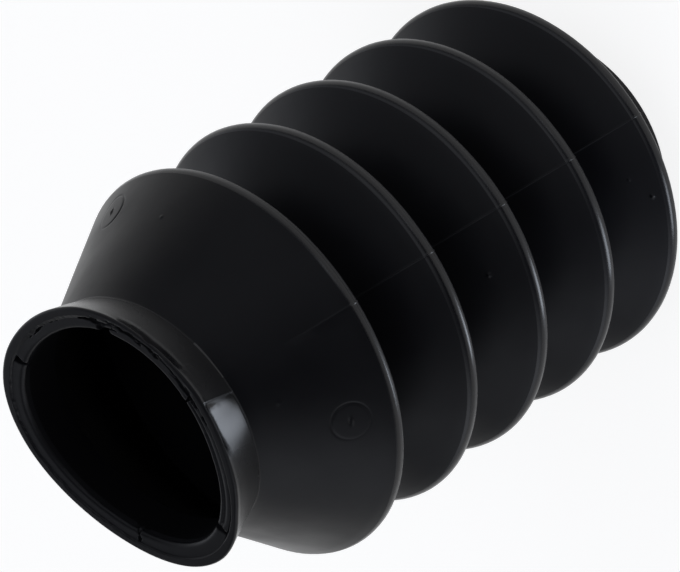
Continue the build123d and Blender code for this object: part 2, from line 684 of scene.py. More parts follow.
    def flared(self, radius: np.ndarray, height: np.ndarray, angle: np.ndarray) -> np.ndarray:
        """Set the band and the outer ring in or out, since the rim stayed rounder than the hole.

        Args:
            radius: Radius of each point in the leaning frame.
            height: Height of each point in the leaning frame.
            angle: Angle of each point, in radians.

        Returns:
            The new radii.
        """
        up_band = np.clip(1 + height / self.length, 0.0, 1.0)
        plain = self.base_radius + (self.mouth_radius - self.base_radius) * up_band
        # all of the band goes along, and the ring between its outer edge and the groove in part
        ring = smooth_step((radius - self.groove_radius) / (self.mouth_radius - self.groove_radius))
        share = np.where(height > -self.ring_depth, ring, radius > plain - self.band_skin)
        share = up_band * share
        return radius + self.wear.at(self.rim_set, angle) * share

    def sunk(self, radius: np.ndarray, height: np.ndarray) -> np.ndarray:
        """Say how far each point of the mouth lies under its untouched face.

        Args:
            radius: Radius of each point in the leaning frame.
            height: Height of each point in the leaning frame.

        Returns:
            The depth in millimetres, with 0 for the ring outside the groove.
        """
        step = np.clip((self.groove_radius - radius) / self.groove_width, 0.0, 1.0)
        # the rounded edge of the bore never counts as sunk
        edge = radius < self.bore_radius + self.bore_round
        top = np.where(edge, -2 * self.bore_round, -self.lip_drop * step)
        return np.where(radius < self.groove_radius + self.sunk_margin, top - height, 0.0)

    def slack(self, height: np.ndarray, angle: np.ndarray) -> tuple[np.ndarray, np.ndarray]:
        """Say how far the soft mouth has gone out of round; the band's base holds it nearly round.

        Args:
            height: Height of each point in the leaning frame.
            angle: Angle of each point, in radians.

        Returns:
            Factor on each radius, and the sideways shift.
        """
        share = np.interp(height, [-self.length, 0.0], [self.base_set, 1.0])
        wave = sum(e * np.cos(n * (angle - math.radians(start))) for n, e, start in self.oval)
        return 1 + share * wave, np.outer(self.sag, share)

    def cell(
        self, radius: np.ndarray, height: np.ndarray, angle: np.ndarray, slack: np.ndarray
    ) -> np.ndarray:
        """Say how fine the skin's mesh has to be round the mouth.

        Args:
            radius: Radius of each point in the leaning frame.
            height: Height of each point in the leaning frame.
            angle: Angle of each point, in radians.
            slack: How far from each point the mesh still counts, in millimetres.

        Returns:
            Longest edge wanted at each point, in millimetres.
        """
        wear, margin = self.wear, self.cell_margin
        fine_depth, notch_depth = self.cell_depths
        by_crease, by_flash, by_notch = self.cell_reaches
        wanted = np.full(len(radius), COARSE)
        inside = radius < self.groove_radius + margin
        face = (height > -fine_depth) & inside
        groove = face & (radius > self.lip_radius - margin)
        wanted[groove] = PLAIN_CELL
        wanted[groove & (wear.at(wear.raggedness, angle) > wear.ragged_from)] = self.ragged_cell
        creased = face & (wear.at(wear.crease, angle) > 0)
        creased &= np.abs(radius - wear.crease_radius) < by_crease
        wanted[creased] = np.minimum(wanted[creased], PLAIN_CELL)
        torn = face & wear.is_torn(angle) & (np.abs(radius - wear.torn_radius) < by_flash)
        wanted[torn] = self.torn_cell
        for notch in self.notches:
            away = angle - math.radians(notch.angle)
            reach = max(notch.inner_width, notch.outer_width) / 2 + by_notch + slack
            close = (np.abs(radius * np.sin(away)) < reach) & (np.cos(away) > 0) & inside
            deep = height <= -notch_depth
            wanted[close & ~deep] = self.torn_cell
            wanted[close & deep & (height > -self.notch_reach)] = self.deep_cell
        return wanted


@dataclass(frozen=True)
class RearCollar:
    """The straight collar at the rear, with a small lip at its end; the boot stands on it."""

    bore_radius: float
    lip_width: float = 1.4
    lip_proud: float = 0.8
    edge_round: float = 0.25
    seat: float = 2.3

    def outer_corners(self, folds: FoldStack) -> list[Corner]:
        """List the corners from inside the bore, round the lip, up to the last fold's root.

        Args:
            folds: The folds that the collar joins.

        Returns:
            The corners in order.
        """
        lip = folds.root_radius + self.lip_proud
        return [
            (self.bore_radius, self.seat, 0.0),
            (self.bore_radius, 0.0, self.edge_round),
            (lip, 0.0, self.edge_round),
            (lip, self.lip_width, self.edge_round),
            (folds.root_radius, self.lip_width + self.lip_proud, self.edge_round),
            self.bend(folds, folds.root_radius, False, folds.root_round),
        ]

    def inner_corners(self, folds: FoldStack) -> list[Corner]:
        """List the corners inside, from the last fold's root back to the bore.

        Args:
            folds: The folds that the collar joins.

        Returns:
            The corners in order.
        """
        inner_round = folds.root_round + folds.wall
        root = folds.root_centre - inner_round
        height = folds.rear_length - folds.pitch / 2
        return [
            self.bend(folds, root, True, inner_round),
            (root, height, 0.0),
            (self.bore_radius, height - (root - self.bore_radius), self.edge_round),
            (self.bore_radius, self.seat, 0.0),
        ]

    @staticmethod
    def bend(folds: FoldStack, radius: float, inner: bool, rounding: float) -> Corner:
        """Find the corner where a straight wall meets the last crest's rear flank.

        Args:
            folds: The folds that the wall meets.
            radius: Radius of the wall.
            inner: True for the inner skin.
            rounding: Rounding of the corner.

        Returns:
            The corner.
        """
        crest, _ = folds.apexes(inner)
        height = folds.crests[0] - (crest - radius) * math.tan(folds.flank_angle)
        return radius, height, rounding


# ------------------------------------------------------------------------------ moulding marks
@dataclass(frozen=True)
class PinMark:
    """Round mark that a pin of the mould leaves: a fine ring with a short bar across its middle."""

    angle: float
    height: float
    radius: float = 4.0
    line: float = 0.26
    depth: float = 0.17
    plateau: float = 0.03
    bar: tuple[float, float, float] = (0.25, 0.75, 0.2)
    bar_turn: float = -80.0
    deep_side: float = 0.0
    shallow: float = 0.15  # share of the depth on the other side
    fine_cell: float = 0.25

    def relief(self, across: np.ndarray, along: np.ndarray) -> np.ndarray:
        """Height of the mark over the plain skin.

        Args:
            across: Distance from the middle round the boot, in millimetres.
            along: Distance from the middle up the skin, in millimetres.

        Returns:
            The height at each point, in millimetres.
        """
        away = np.hypot(across, along)
        raised = self.plateau * smooth_step((self.radius - away) / (2 * self.line) + 0.5)
        turn = math.radians(self.bar_turn)
        s = across * math.cos(turn) + along * math.sin(turn)
        t = along * math.cos(turn) - across * math.sin(turn)
        width, length, rise = self.bar
        # the bar is a bead on one side of a slit
        bead = rise * bump(s - width, width) * bump(t, length)
        slit = -rise * bump(s + width, width) * bump(t, length)
        facing = 0.5 + 0.5 * np.cos(np.arctan2(along, across) - math.radians(self.deep_side))
        share = self.shallow + (1 - self.shallow) * facing
        ring = self.depth * share * bump(away - self.radius, self.line)
        return raised - ring + bead + slit

    def cell(self, away: np.ndarray, slack: np.ndarray) -> np.ndarray:
        """Say how fine the skin's mesh has to be round the mark.

        Args:
            away: Distance from the middle, in millimetres.
            slack: How far from each point the mesh still counts, in millimetres.

        Returns:
            Longest edge wanted at each point, in millimetres.
        """
        at_ring = np.abs(away - self.radius) < 0.5 + slack
        at_bar = away < 1.4 + slack
        near = away < self.radius + 1.0 + slack
        return np.where(at_ring | at_bar, self.fine_cell, np.where(near, PLAIN_CELL, COARSE))


@dataclass(frozen=True)
class Pip:
    """Small bump that a vent of the mould leaves, or a pit where rise is below 0."""

    angle: float
    height: float
    width: float = 0.3
    rise: float = 0.2

    def relief(self, across: np.ndarray, along: np.ndarray) -> np.ndarray:
        """Height of the bump over the plain skin at each distance from its middle."""
        return self.rise * bump(np.hypot(across, along), self.width)

    def cell(self, away: np.ndarray, slack: np.ndarray) -> np.ndarray:
        """Say how fine the skin's mesh has to be round the mark.

        Args:
            away: Distance from the middle, in millimetres.
            slack: How far from each point the mesh still counts, in millimetres.

        Returns:
            Longest edge wanted at each point, in millimetres.
        """
        on_bump = away < 2.2 * self.width + slack
        near = away < 1.5 + slack
        return np.where(on_bump, 0.5 * self.width, np.where(near, PLAIN_CELL, COARSE))


@dataclass(frozen=True)
class PartingLine:
    """Fine ridge along one side of the boot, where the two halves of the mould met."""

    angle: float
    rise: float = 0.15
    width: float = 0.16
    band_rise: float = 0.3  # share of the rise that is left on the band
    band_shift: tuple[float, float] = (-2.1, -0.7)  # sideways, at the band's base and mouth
    band_ease: float = 0.06  # share of the band over which its forms come in
    band_step: float = 0.08
    step_edge: float = 0.4
    step_reach: tuple[float, float] = (4.0, 14.0)  # full so far, then fading over so much
    facet: Table = ((0.0, 0.25), (0.87, -0.95), (0.94, -0.5), (1.0, 0.0))
    facet_edge: float = 2.4
    facet_reach: tuple[float, float] = (6.5, 6.0)

    def beside(self, spots: np.ndarray, band_height: np.ndarray) -> np.ndarray:
        """Distance of each point from the line, in millimetres, larger on the far side of the boot.

        Args:
            spots: Position of each point, in millimetres.
            band_height: How far up the band each point is, from 0 to 1; below 0 under the band.

        Returns:
            The distance, above 0 towards larger angles.
        """
        turn = math.radians(self.angle)
        facing = spots[:, 0] * math.cos(turn) + spots[:, 1] * math.sin(turn)
        across = spots[:, 1] * math.cos(turn) - spots[:, 0] * math.sin(turn)
        low, high = self.band_shift
        shift = np.where(band_height >= 0, low + (high - low) * np.clip(band_height, 0, 1), 0.0)
        return np.where(facing > 0, across - shift, COARSE)

    def relief(self, beside: np.ndarray, band_height: np.ndarray) -> np.ndarray:
        """Height of the ridge, and of the step beside it on the band.

        Args:
            beside: Distance of each point from the line, in millimetres.
            band_height: How far up the band each point is, from 0 to 1; below 0 under the band.

        Returns:
            The height at each point, in millimetres.
        """
        ease = smooth_step(band_height / self.band_ease)
        start, length = self.step_reach
        fade = 1 - smooth_step((-beside - start) / length)
        step = -self.band_step * smooth_step(-beside / self.step_edge) * ease * fade
        # the far half of the mould was opened out a little less, so the band flares less there
        start, length = self.facet_reach
        reach = 1 - smooth_step((-beside - start) / length)
        reach = smooth_step(-beside / self.facet_edge) * reach
        less = read(self.facet, band_height) * reach * ease
        rise = np.where(band_height >= 0, self.band_rise * self.rise, self.rise)
        return rise * bump(beside, self.width) + step + less


MARKS: tuple[PinMark | Pip, ...] = (
    PinMark(-31.0, 119.0, deep_side=20.0),
    PinMark(89.0, 118.7, deep_side=180.0, bar_turn=10.0),
    PinMark(209.0, 118.7),
    Pip(60.8, 121.6, 0.35, 0.12),
    Pip(-18.5, 129.1, 0.5, 0.08),
    Pip(-17.4, 70.2, 0.45, 0.25),
    Pip(-23.9, 20.3, 0.4, 0.4),
    Pip(-16.9, 22.4, 0.3, 0.15),
)


# ------------------------------------------------------------------------------ the skin
@dataclass
class Placed:
    """Points of the unrolled skin, put where they belong on the boot."""

    spots: np.ndarray
    radius: np.ndarray
    height: np.ndarray
    share: np.ndarray
    angle: np.ndarray
    zone: np.ndarray

    @property
    def outer(self) -> np.ndarray:
        """True for the points of the outer skin."""
        return (self.zone == Zone.OUTSIDE.value) | (self.zone == Zone.BAND.value)


class Finish(Enum):
    """Finish of a face of the skin, in the order of the mesh's materials."""

    SATIN = 0
    POLISHED = 1
    TORN = 2
    # painted shade: a darker colour for the skin inside, where the hole lies in shade
    SOOTY = 3


@dataclass
class BootSkin:
    """The whole skin of the boot, one closed mesh."""

    folds: FoldStack
    front: FrontCollar
    rear: RearCollar
    lean: float
    marks: tuple[PinMark | Pip, ...]
    seams: tuple[PartingLine, ...]
    column_step: float = 3.0
    seam_columns: tuple[float, ...] = (-0.8, -0.5, -0.3, -0.15, 0.0, 0.15, 0.3, 0.5, 0.8)
    seam_clear: float = 1.4  # degrees beside a parting line without other columns
    cut_angle: float = -100.0
    longest_outside: float = 2.6
    longest_band: float = 0.95
    longest_mouth: float = 0.6
    longest_bore: float = 1.2
    longest_inside: float = 6.0
    band_arc_step: float = 22.0
    inner_arc_step: float = 28.0
    junction_round: float = 0.25
    band_start: tuple[float, float] = (0.5, 0.8)  # the band's first ring, and the rest
    band_share: float = 0.98  # share of the leaning frame from which a point is on the band
    seam_cell: float = 0.3
    seam_reach: tuple[float, float] = (-0.2, 0.8)  # middle and reach of the fine mesh beside it
    levels: int = 5
    rubbed_corner: tuple[float, float] = (9.0, 10.0)  # middle and reach, in degrees
    polish_from: tuple[float, float] = (0.05, -0.01)  # under the band, at that corner and not
    polish_eases: tuple[float, float] = (0.04, 0.1)  # up the band, and out to a crest
    unevenness: float = 0.05
    uneven_size: float = 17.0
    uneven_detail: float = 0.4  # share of the pattern of a third of the size
    plain_foot: float = 3.0
    foot_ease: float = 6.0
    mark_reach: float = 6.0
    torn_starts: tuple[float, float] = (0.06, 0.35)  # depth, where the flash is torn and not
    torn_ease: float = 0.14
    finish_from: tuple[float, float, float] = (0.5, 0.6, 1.6)  # limits of the last three finishes

    @property
    def cone_end(self) -> float:
        """Height where the front cone ends, along the folds' axis."""
        return self.mouth_height - self.front.length

    @property
    def mouth_height(self) -> float:
        """Height of the middle of the mouth."""
        return self.folds.crests[-1] + self.front.front_length

    def add_cone(self, rings: Rings, start: np.ndarray, inner: bool) -> None:
        """Add the rings of one skin of the front cone, up to the band's base.

        Args:
            rings: Rings to add to.
            start: Radius and height where the cone leaves the first crest.
            inner: True for the inner skin.
        """
        base = (self.front.bore_radius if inner else self.front.base_radius, -self.front.length)
        zone = Zone.INSIDE if inner else Zone.OUTSIDE
        reach = float(np.hypot(start[0] - base[0], self.cone_end - start[1]))
        count = math.ceil(reach / (self.longest_inside if inner else self.longest_outside))
        last = 1 - self.junction_round / reach
        for i in range(1, count + 1):
            rings.add(start, base, last * i / count, zone)
        corners = self.front.band_corners()
        up = np.array(corners[-2][:2] if inner else corners[1][:2]) - base
        up = np.array(base) + up / np.linalg.norm(up) * self.junction_round
        for u in (0.25, 0.5, 0.75, 1.0):
            share = 1 - (1 - u) ** 2 * (1 - last)
            mixed = (np.array(base) * (share - u * u) + up * u * u) / share
            rings.add(start, mixed, share, zone)

    def rings(self) -> Rings:
        """Lay out the rings of the closed section, from the rear bore over the outside and back.

        Returns:
            The rings in order.
        """
        made = Rings()
        outer = self.rear.outer_corners(self.folds)
        outer += self.folds.corners(False, (self.front.base_radius, self.cone_end))
        points = rounded(outer)
        made.add_straight(filled_in(points[:-1], self.longest_outside), Zone.OUTSIDE)
        self.add_cone(made, points[-2], False)

        points = rounded(self.front.band_corners(), self.band_arc_step)
        edge = int(np.argmax(points[:, 0]))
        band = filled_in(points[: edge + 1], self.longest_band)
        first, clear = self.band_start
        start = points[0] + (band[-1] - band[0]) / np.linalg.norm(band[-1] - band[0]) * first
        band = np.vstack([start, band[np.linalg.norm(band - points[0], axis=1) > clear]])
        made.add_leaning(band, Zone.BAND)
        bore = int(np.flatnonzero(points[:, 0] > self.front.bore_radius + 0.001)[-1]) + 1
        mouth = filled_in(points[edge + 1 : bore + 1], self.longest_mouth)
        made.add_leaning(mouth, Zone.MOUTH)
        wall = filled_in(points[bore:], self.longest_bore)
        wall = wall[np.linalg.norm(wall - points[-1], axis=1) > self.junction_round + 0.2]
        made.add_leaning(wall[1:], Zone.BORE)

        inner = self.folds.corners(True, (self.front.bore_radius, self.cone_end))[::-1]
        inner += self.rear.inner_corners(self.folds)
        points = rounded(inner, self.inner_arc_step)
        cone = Rings()
        self.add_cone(cone, points[1], True)
        made.add_reversed(cone)
        made.add_straight(filled_in(points[1:], self.longest_inside), Zone.INSIDE)
        return made

    def columns(self) -> np.ndarray:
        """Space the columns round the boot, closer together at both parting lines.

        Returns:
            The angle of each column, in degrees; the last one closes the skin.
        """
        even = np.arange(self.cut_angle, self.cut_angle + 360.0, self.column_step)
        close = np.array(self.seam_columns)
        clear = [a for a in even if min(abs(a), abs(a - 180)) > self.seam_clear]
        return np.array(sorted([*clear, *close, *(close + 180)]) + [self.cut_angle + 360.0])

    def flat_grid(self, rings: Rings) -> bmesh.types.BMesh:
        """Make the unrolled skin, with the ring's number along X and the angle along Y.

        Args:
            rings: The rings of the section.

        Returns:
            The unrolled skin.
        """
        angles = np.radians(self.columns())
        count, across = len(rings.share), len(angles)
        grid = np.zeros((count, across, 3))
        grid[:, :, 0] = np.arange(count)[:, None]
        grid[:, :, 1] = angles[None, :]
        corner = (np.arange(count - 1)[:, None] * across + np.arange(across - 1)[None, :]).ravel()
        faces = np.stack([corner, corner + 1, corner + across + 1, corner + across], axis=1)
        mesh = bpy.data.meshes.new("unrolled")
        mesh.from_pydata(grid.reshape(-1, 3).tolist(), [], faces.tolist())
        flat = bmesh.new()
        flat.from_mesh(mesh)
        bpy.data.meshes.remove(mesh)
        return flat

    def place(self, rings: Rings, along: np.ndarray, angle: np.ndarray) -> Placed:
        """Put points of the unrolled skin where they belong on the boot.

        Args:
            rings: The rings of the section.
            along: Ring number of each point.
            angle: Angle of each point, in radians.

        Returns:
            The points, in millimetres.
        """
        order = np.arange(len(rings.share))
        shares = np.array(rings.share)
        low = np.clip(along.astype(int), 0, len(order) - 2)
        part = along - low
        share = np.interp(along, order, shares)
        tables = (
            (np.array(rings.straight), shares < 1),
            (np.array(rings.leaning), shares > 0),
        )
        values = []
        for table, known in tables:
            # a ring that isn't in this frame at all lends the place of its neighbour
            w_low, w_high = known[low] * (1 - part), known[low + 1] * part
            total = np.maximum(w_low + w_high, 1e-9)[:, None]
            values.append((table[low] * w_low[:, None] + table[low + 1] * w_high[:, None]) / total)
        (r0, z0), (r1, h1) = values[0].T, values[1].T
        zone = np.array(rings.zone)[np.round(along).astype(int)]
        own = share > ALL_LEANING
        r1[own] = self.front.flared(r1[own], h1[own], angle[own])
        r1[own], h1[own] = self.front.trimmed(r1[own], h1[own], angle[own])
        cosine, sine = np.cos(angle), np.sin(angle)
        axis = np.array([0.0, -math.sin(self.lean), math.cos(self.lean)])
        side = np.array([0.0, math.cos(self.lean), math.sin(self.lean)])
        folds = np.stack([r0 * cosine, r0 * sine, z0], axis=1)
        wide, sag = self.front.slack(h1, angle)
        collar = (
            np.array([0.0, 0.0, self.mouth_height])
            + np.outer(r1 * wide * cosine + sag[0], [1.0, 0.0, 0.0])
            + np.outer(r1 * wide * sine + sag[1], side)
            + np.outer(h1, axis)
        )
        spots = folds * (1 - share)[:, None] + collar * share[:, None]
        return Placed(spots, r1, h1, share, angle, zone)

    def locate(self, rings: Rings, mark: PinMark | Pip) -> MarkAxes:
        """Find a mark's middle on the outer skin.

        Args:
            rings: The rings of the section.
            mark: The mark.

        Returns:
            The middle, and the directions round the boot and up the skin there.
        """
        along = np.arange(10.0, len(rings.share) - 2.0, 0.02)
        angle = math.radians(mark.angle)
        line = self.place(rings, along, np.full(len(along), angle))
        miss = np.where(line.outer, np.abs(line.spots[:, 2] - mark.height), np.inf)
        best = along[int(np.argmin(miss))]
        probe = np.array([(best, angle), (best, angle + 1e-3), (best + 0.05, angle)])
        middle, beside, ahead = self.place(rings, probe[:, 0], probe[:, 1]).spots
        across = (beside - middle) / np.linalg.norm(beside - middle)
        return middle, across, (ahead - middle) / np.linalg.norm(ahead - middle)

    def band_height(self, placed: Placed) -> np.ndarray:
        """How far up the band each point is, from 0 to 1, or -1 off the band."""
        on_band = placed.outer & (placed.share > self.band_share)
        return np.where(on_band, 1 + placed.height / self.front.length, -1.0)

    def refine(self, flat: bmesh.types.BMesh, rings: Rings, middles: list[np.ndarray]) -> None:
        """Split the unrolled skin's edges until they are short enough for the fine forms.

        Args:
            flat: The unrolled skin.
            rings: The rings of the section.
            middles: Middle of each mark.
        """
        seam_middle, seam_reach = self.seam_reach
        for _ in range(self.levels):
            flat.verts.index_update()
            edges = list(flat.edges)
            ends = np.array([[v.index for v in e.verts] for e in edges])
            flat_spots = np.array([v.co[:2] for v in flat.verts])
            placed = self.place(rings, flat_spots[:, 0], flat_spots[:, 1])
            a, b = placed.spots[ends[:, 0]], placed.spots[ends[:, 1]]
            length = np.linalg.norm(b - a, axis=1)
            between = flat_spots[ends].mean(axis=1)
            middle = self.place(rings, between[:, 0], between[:, 1])
            wanted = np.full(len(edges), COARSE)
            own = middle.share > ALL_LEANING
            wanted[own] = self.front.cell(
                middle.radius[own], middle.height[own], middle.angle[own], length[own] / 2
            )
            for mark, spot in zip(self.marks, middles):
                away = np.linalg.norm(middle.spots - spot, axis=1)
                cell = np.where(middle.outer, mark.cell(away, length / 2), COARSE)
                wanted = np.minimum(wanted, cell)
            band = self.band_height(middle)
            for seam in self.seams:
                beside = seam.beside(middle.spots, band) - seam_middle
                near = (np.abs(beside) < seam_reach + length / 2) & (band >= 0)
                wanted[near] = np.minimum(wanted[near], self.seam_cell)
            long = [e for e, split in zip(edges, length > wanted) if split]
            if not long:
                break
            bmesh.ops.subdivide_edges(
                flat, edges=long, cuts=1, use_grid_fill=True, use_single_edge=True
            )

    def relief(self, placed: Placed, frames: list[MarkAxes]) -> np.ndarray:
        """Work out how far each point stands over or under the plain skin.

        Args:
            placed: The points.
            frames: Middle and directions of each mark.

        Returns:
            The distance along the skin's normal, in millimetres.
        """
        out = np.zeros(len(placed.spots))
        shown = placed.outer | (placed.zone == Zone.MOUTH.value)
        uneven = waver(placed.spots[shown], self.uneven_size, 5.0)
        uneven += self.uneven_detail * waver(placed.spots[shown], self.uneven_size / 3, 8.0)
        over_foot = placed.spots[:, 2] - self.plain_foot
        out[shown] += self.unevenness * uneven * smooth_step(over_foot[shown] / self.foot_ease)
        band = self.band_height(placed)
        for seam in self.seams:
            ridge = seam.relief(seam.beside(placed.spots, band), band)
            out += np.where(placed.outer & (over_foot > 0), ridge, 0.0)
        for mark, (middle, across, along) in zip(self.marks, frames):
            offset = placed.spots - middle
            near = placed.outer & (np.linalg.norm(offset, axis=1) < self.mark_reach)
            out[near] += mark.relief(offset[near] @ across, offset[near] @ along)
        return out

    def build(self) -> bpy.types.Object:
        """Build the skin as an object, closed and smooth-shaded.

        Returns:
            The object, whose faces have the material numbers of their finishes.
        """
        rings = self.rings()
        frames = [self.locate(rings, mark) for mark in self.marks]
        skin = self.flat_grid(rings)
        self.refine(skin, rings, [middle for middle, _, _ in frames])
        flat = np.array([v.co[:2] for v in skin.verts])
        placed = self.place(rings, flat[:, 0], flat[:, 1])

        # the points keep their place on the unrolled skin, and their finish, while it is closed
        names = ("along", "angle", "polish", "matt")
        floats = skin.verts.layers.float
        layers = [floats.new(name) for name in names]
        rows = np.column_stack([flat, self.polished(placed), self.matt(placed)])
        for vertex, spot, row in zip(skin.verts, placed.spots, rows):
            vertex.co = spot
            for layer, value in zip(layers, row):
                vertex[layer] = value
        bmesh.ops.remove_doubles(skin, verts=skin.verts, dist=1e-4)
        bmesh.ops.recalc_face_normals(skin, faces=skin.faces)
        skin.normal_update()

        along, round_angle, polish, matt = layers
        at = np.array([(v[along], v[round_angle]) for v in skin.verts])
        lift = self.relief(self.place(rings, at[:, 0], at[:, 1]), frames)
        for vertex, rise in zip(skin.verts, lift):
            vertex.co = (vertex.co + vertex.normal * float(rise)) * MM
        bmesh.ops.triangulate(skin, faces=[f for f in skin.faces if len(f.verts) > 4])
        for face in skin.faces:
            bright = min(v[polish] for v in face.verts)
            dull = sum(v[matt] for v in face.verts) / len(face.verts)
            face.material_index = self.finish(bright, dull).value
        for name in names:
            floats.remove(floats[name])
        return smooth_object("boot_skin", skin)

    def polished(self, placed: Placed) -> np.ndarray:
        """Say where the skin is polished: on the band, and by handling on the crests.

        Args:
            placed: The points.

        Returns:
            How polished each point is, from 0 to 1.
        """
        folds = self.folds
        middle, reach = self.rubbed_corner
        rubbed = np.abs(turned(np.degrees(placed.angle), middle)) < reach
        up_band = self.band_height(placed) + np.where(rubbed, *self.polish_from)
        band_ease, crest_ease = self.polish_eases
        band = smooth_step(up_band / band_ease)
        out = np.hypot(placed.spots[:, 0], placed.spots[:, 1])
        crest = smooth_step((out - folds.crest_radius + folds.worn_depth) / crest_ease)
        # hands have rubbed the side of each crest that faces the mouth
        up = (placed.spots[:, 2] - folds.rear_length + folds.pitch / 2) % folds.pitch
        crest *= up > folds.pitch / 2 - folds.worn_rear
        return np.where(placed.outer, np.maximum(band, crest), 0.0)

    def matt(self, placed: Placed) -> np.ndarray:
        """Say where the skin is matt: inside, and in the mouth where it is torn or sunk.

        Args:
            placed: The points.

        Returns:
            2 inside, where the skin takes the darker colour of painted shade, and from 0 to 1 in
            the mouth.
        """
        inside = np.isin(placed.zone, (Zone.BORE.value, Zone.INSIDE.value))
        in_mouth = placed.zone == Zone.MOUTH.value
        start = np.where(self.front.wear.is_torn(placed.angle), *self.torn_starts)
        sunk = self.front.sunk(placed.radius, placed.height)
        # the 2 inside picks the darker colour that paints the hole's shade
        return np.maximum(2.0 * inside, smooth_step((sunk - start) / self.torn_ease) * in_mouth)

    def finish(self, bright: float, dull: float) -> Finish:
        """Choose the finish of a face.

        Args:
            bright: How polished its least polished corner is.
            dull: How matt its corners are on average.

        Returns:
            The finish.
        """
        polished, torn, shade_from = self.finish_from
        if dull > torn:
            # faces inside get the darker colour painted as shade; torn faces are matt and a little
            # greyer
            return Finish.SOOTY if dull > shade_from else Finish.TORN
        return Finish.POLISHED if bright > polished else Finish.SATIN

    def dress(self, piece: bpy.types.Object) -> None:
        """Give the built skin its materials, in the order of the finishes.

        Args:
            piece: The skin.
        """
        for finish in Finish:
            piece.data.materials.append(FINISHES[finish].build())


# ------------------------------------------------------------------------------ finish
@dataclass(frozen=True)
class MouldedRubber:
    """Black carbon-filled rubber, compression moulded in a blasted steel mould.

    Carbon black swallows nearly all light, so the eye sees only the sheen. The blasted mould gives
    a satin skin whose gloss wanders a little, and bright polish where the mould's core was smooth.
    """

    name: str = "moulded_rubber_black"
    colour: str = "#0e0e11"
    bloom: str = "#131316"
    ior: float = 1.5
    specular: float = 0.15
    roughness: tuple[float, float] = (0.33, 0.41)
    patch_mm: float = 11.0
    grain_mm: float = 0.7  # real blast grain is near 0.1 mm; drawn coarser so that it shows
    grain_depth_mm: float = 0.004
    ripple_mm: float = 5.0
    ripple_depth_mm: float = 0.03

    def build(self) -> bpy.types.Material:
        """Make the material.

        Returns:
            The material, with its colour, gloss and relief from nodes.
        """
        made = bpy.data.materials.new(self.name)
        tree = fresh_tree(made)
        place = add_node(tree, "ShaderNodeTexCoord").outputs["Object"]
        patches, grain, ripple = (
            add_node(
                tree,
                "ShaderNodeTexNoise",
                {"Vector": place, "Scale": 1 / (size_mm * MM), "Detail": detail},
            ).outputs["Fac"]
            for size_mm, detail in (
                (self.patch_mm, 3.0), (self.grain_mm, 2.0), (self.ripple_mm, 2.0)
            )
        )
        shade = add_node(
            tree,
            "ShaderNodeMix",
            {0: patches, 6: linear(self.colour), 7: linear(self.bloom)},
            data_type="RGBA",
        )
        low, high = self.roughness
        gloss = add_node(
            tree, "ShaderNodeMapRange", {"Value": patches, 1: 0.3, 2: 0.7, 3: low, 4: high}
        )
        fine = add_node(
            tree, "ShaderNodeBump", {"Height": grain, "Distance": self.grain_depth_mm * MM}
        )
        relief = add_node(
            tree,
            "ShaderNodeBump",
            {
                "Height": ripple,
                "Distance": self.ripple_depth_mm * MM,
                "Normal": fine.outputs[0],
            },
        )
        shader = add_node(
            tree,
            "ShaderNodeBsdfPrincipled",
            {
                "Base Color": shade.outputs[2],
                "Roughness": gloss.outputs[0],
                "IOR": self.ior,
                "Specular IOR Level": self.specular,
                "Normal": relief.outputs[0],
            },
        )
        add_node(tree, "ShaderNodeOutputMaterial", {"Surface": shader.outputs[0]})
        return made


FINISHES: dict[Finish, MouldedRubber] = {
    Finish.SATIN: MouldedRubber(),
    # the band was moulded against polished steel, so it mirrors the room more sharply
    Finish.POLISHED: MouldedRubber(
        name="polished_rubber_black",
        specular=0.3,
        roughness=(0.24, 0.29),
        ripple_depth_mm=0.02,
    ),
    # torn rubber is a little greyer, and has hardly any sheen
    Finish.TORN: MouldedRubber(
        name="torn_rubber_black",
        colour="#161618",
        bloom="#1b1b1d",
        specular=0.05,
        roughness=(0.62, 0.74),
    ),
    # painted shade: the skin inside gets a darker colour, so that the hole stays dark even where
    # light falls in
    Finish.SOOTY: MouldedRubber(
        name="sooty_rubber_black",
        colour="#09090b",
        bloom="#0c0c0e",
        specular=0.05,
        roughness=(0.62, 0.74),
    ),
}


# ------------------------------------------------------------------------------ the studio
@dataclass(frozen=True)
class Camera:
    """The camera: where it aims, from which side, how far off and how far rolled."""

    aim: tuple[float, float, float] = (-6.3, 1.9, 72.5)
    distance: float = 572.0
    azimuth: float = 2.715
    elevation: float = 37.9
    roll: float = -123.17
    lens: float = 137.65
    sensor: float = 36.0

    def build(self) -> bpy.types.Object:
        """Make the camera and give it to the scene.

        Returns:
            The camera.
        """
        data = bpy.data.cameras.new("camera")
        data.lens, data.sensor_width = self.lens, self.sensor
        data.clip_start, data.clip_end = 0.01, 50.0
        made = linked("camera", data)
        back = Vector(heading(self.azimuth, self.elevation))
        a = math.radians(self.azimuth)
        right = Vector((-math.sin(a), math.cos(a), 0.0))
        up = back.cross(right)
        rolled = Matrix.Rotation(math.radians(self.roll), 3, "Z")
        turn = Matrix((right, up, back)).transposed() @ rolled
        spot = (Vector(self.aim) + back * self.distance) * MM
        made.matrix_world = Matrix.Translation(spot) @ turn.to_4x4()
        bpy.context.scene.camera = made
        return made


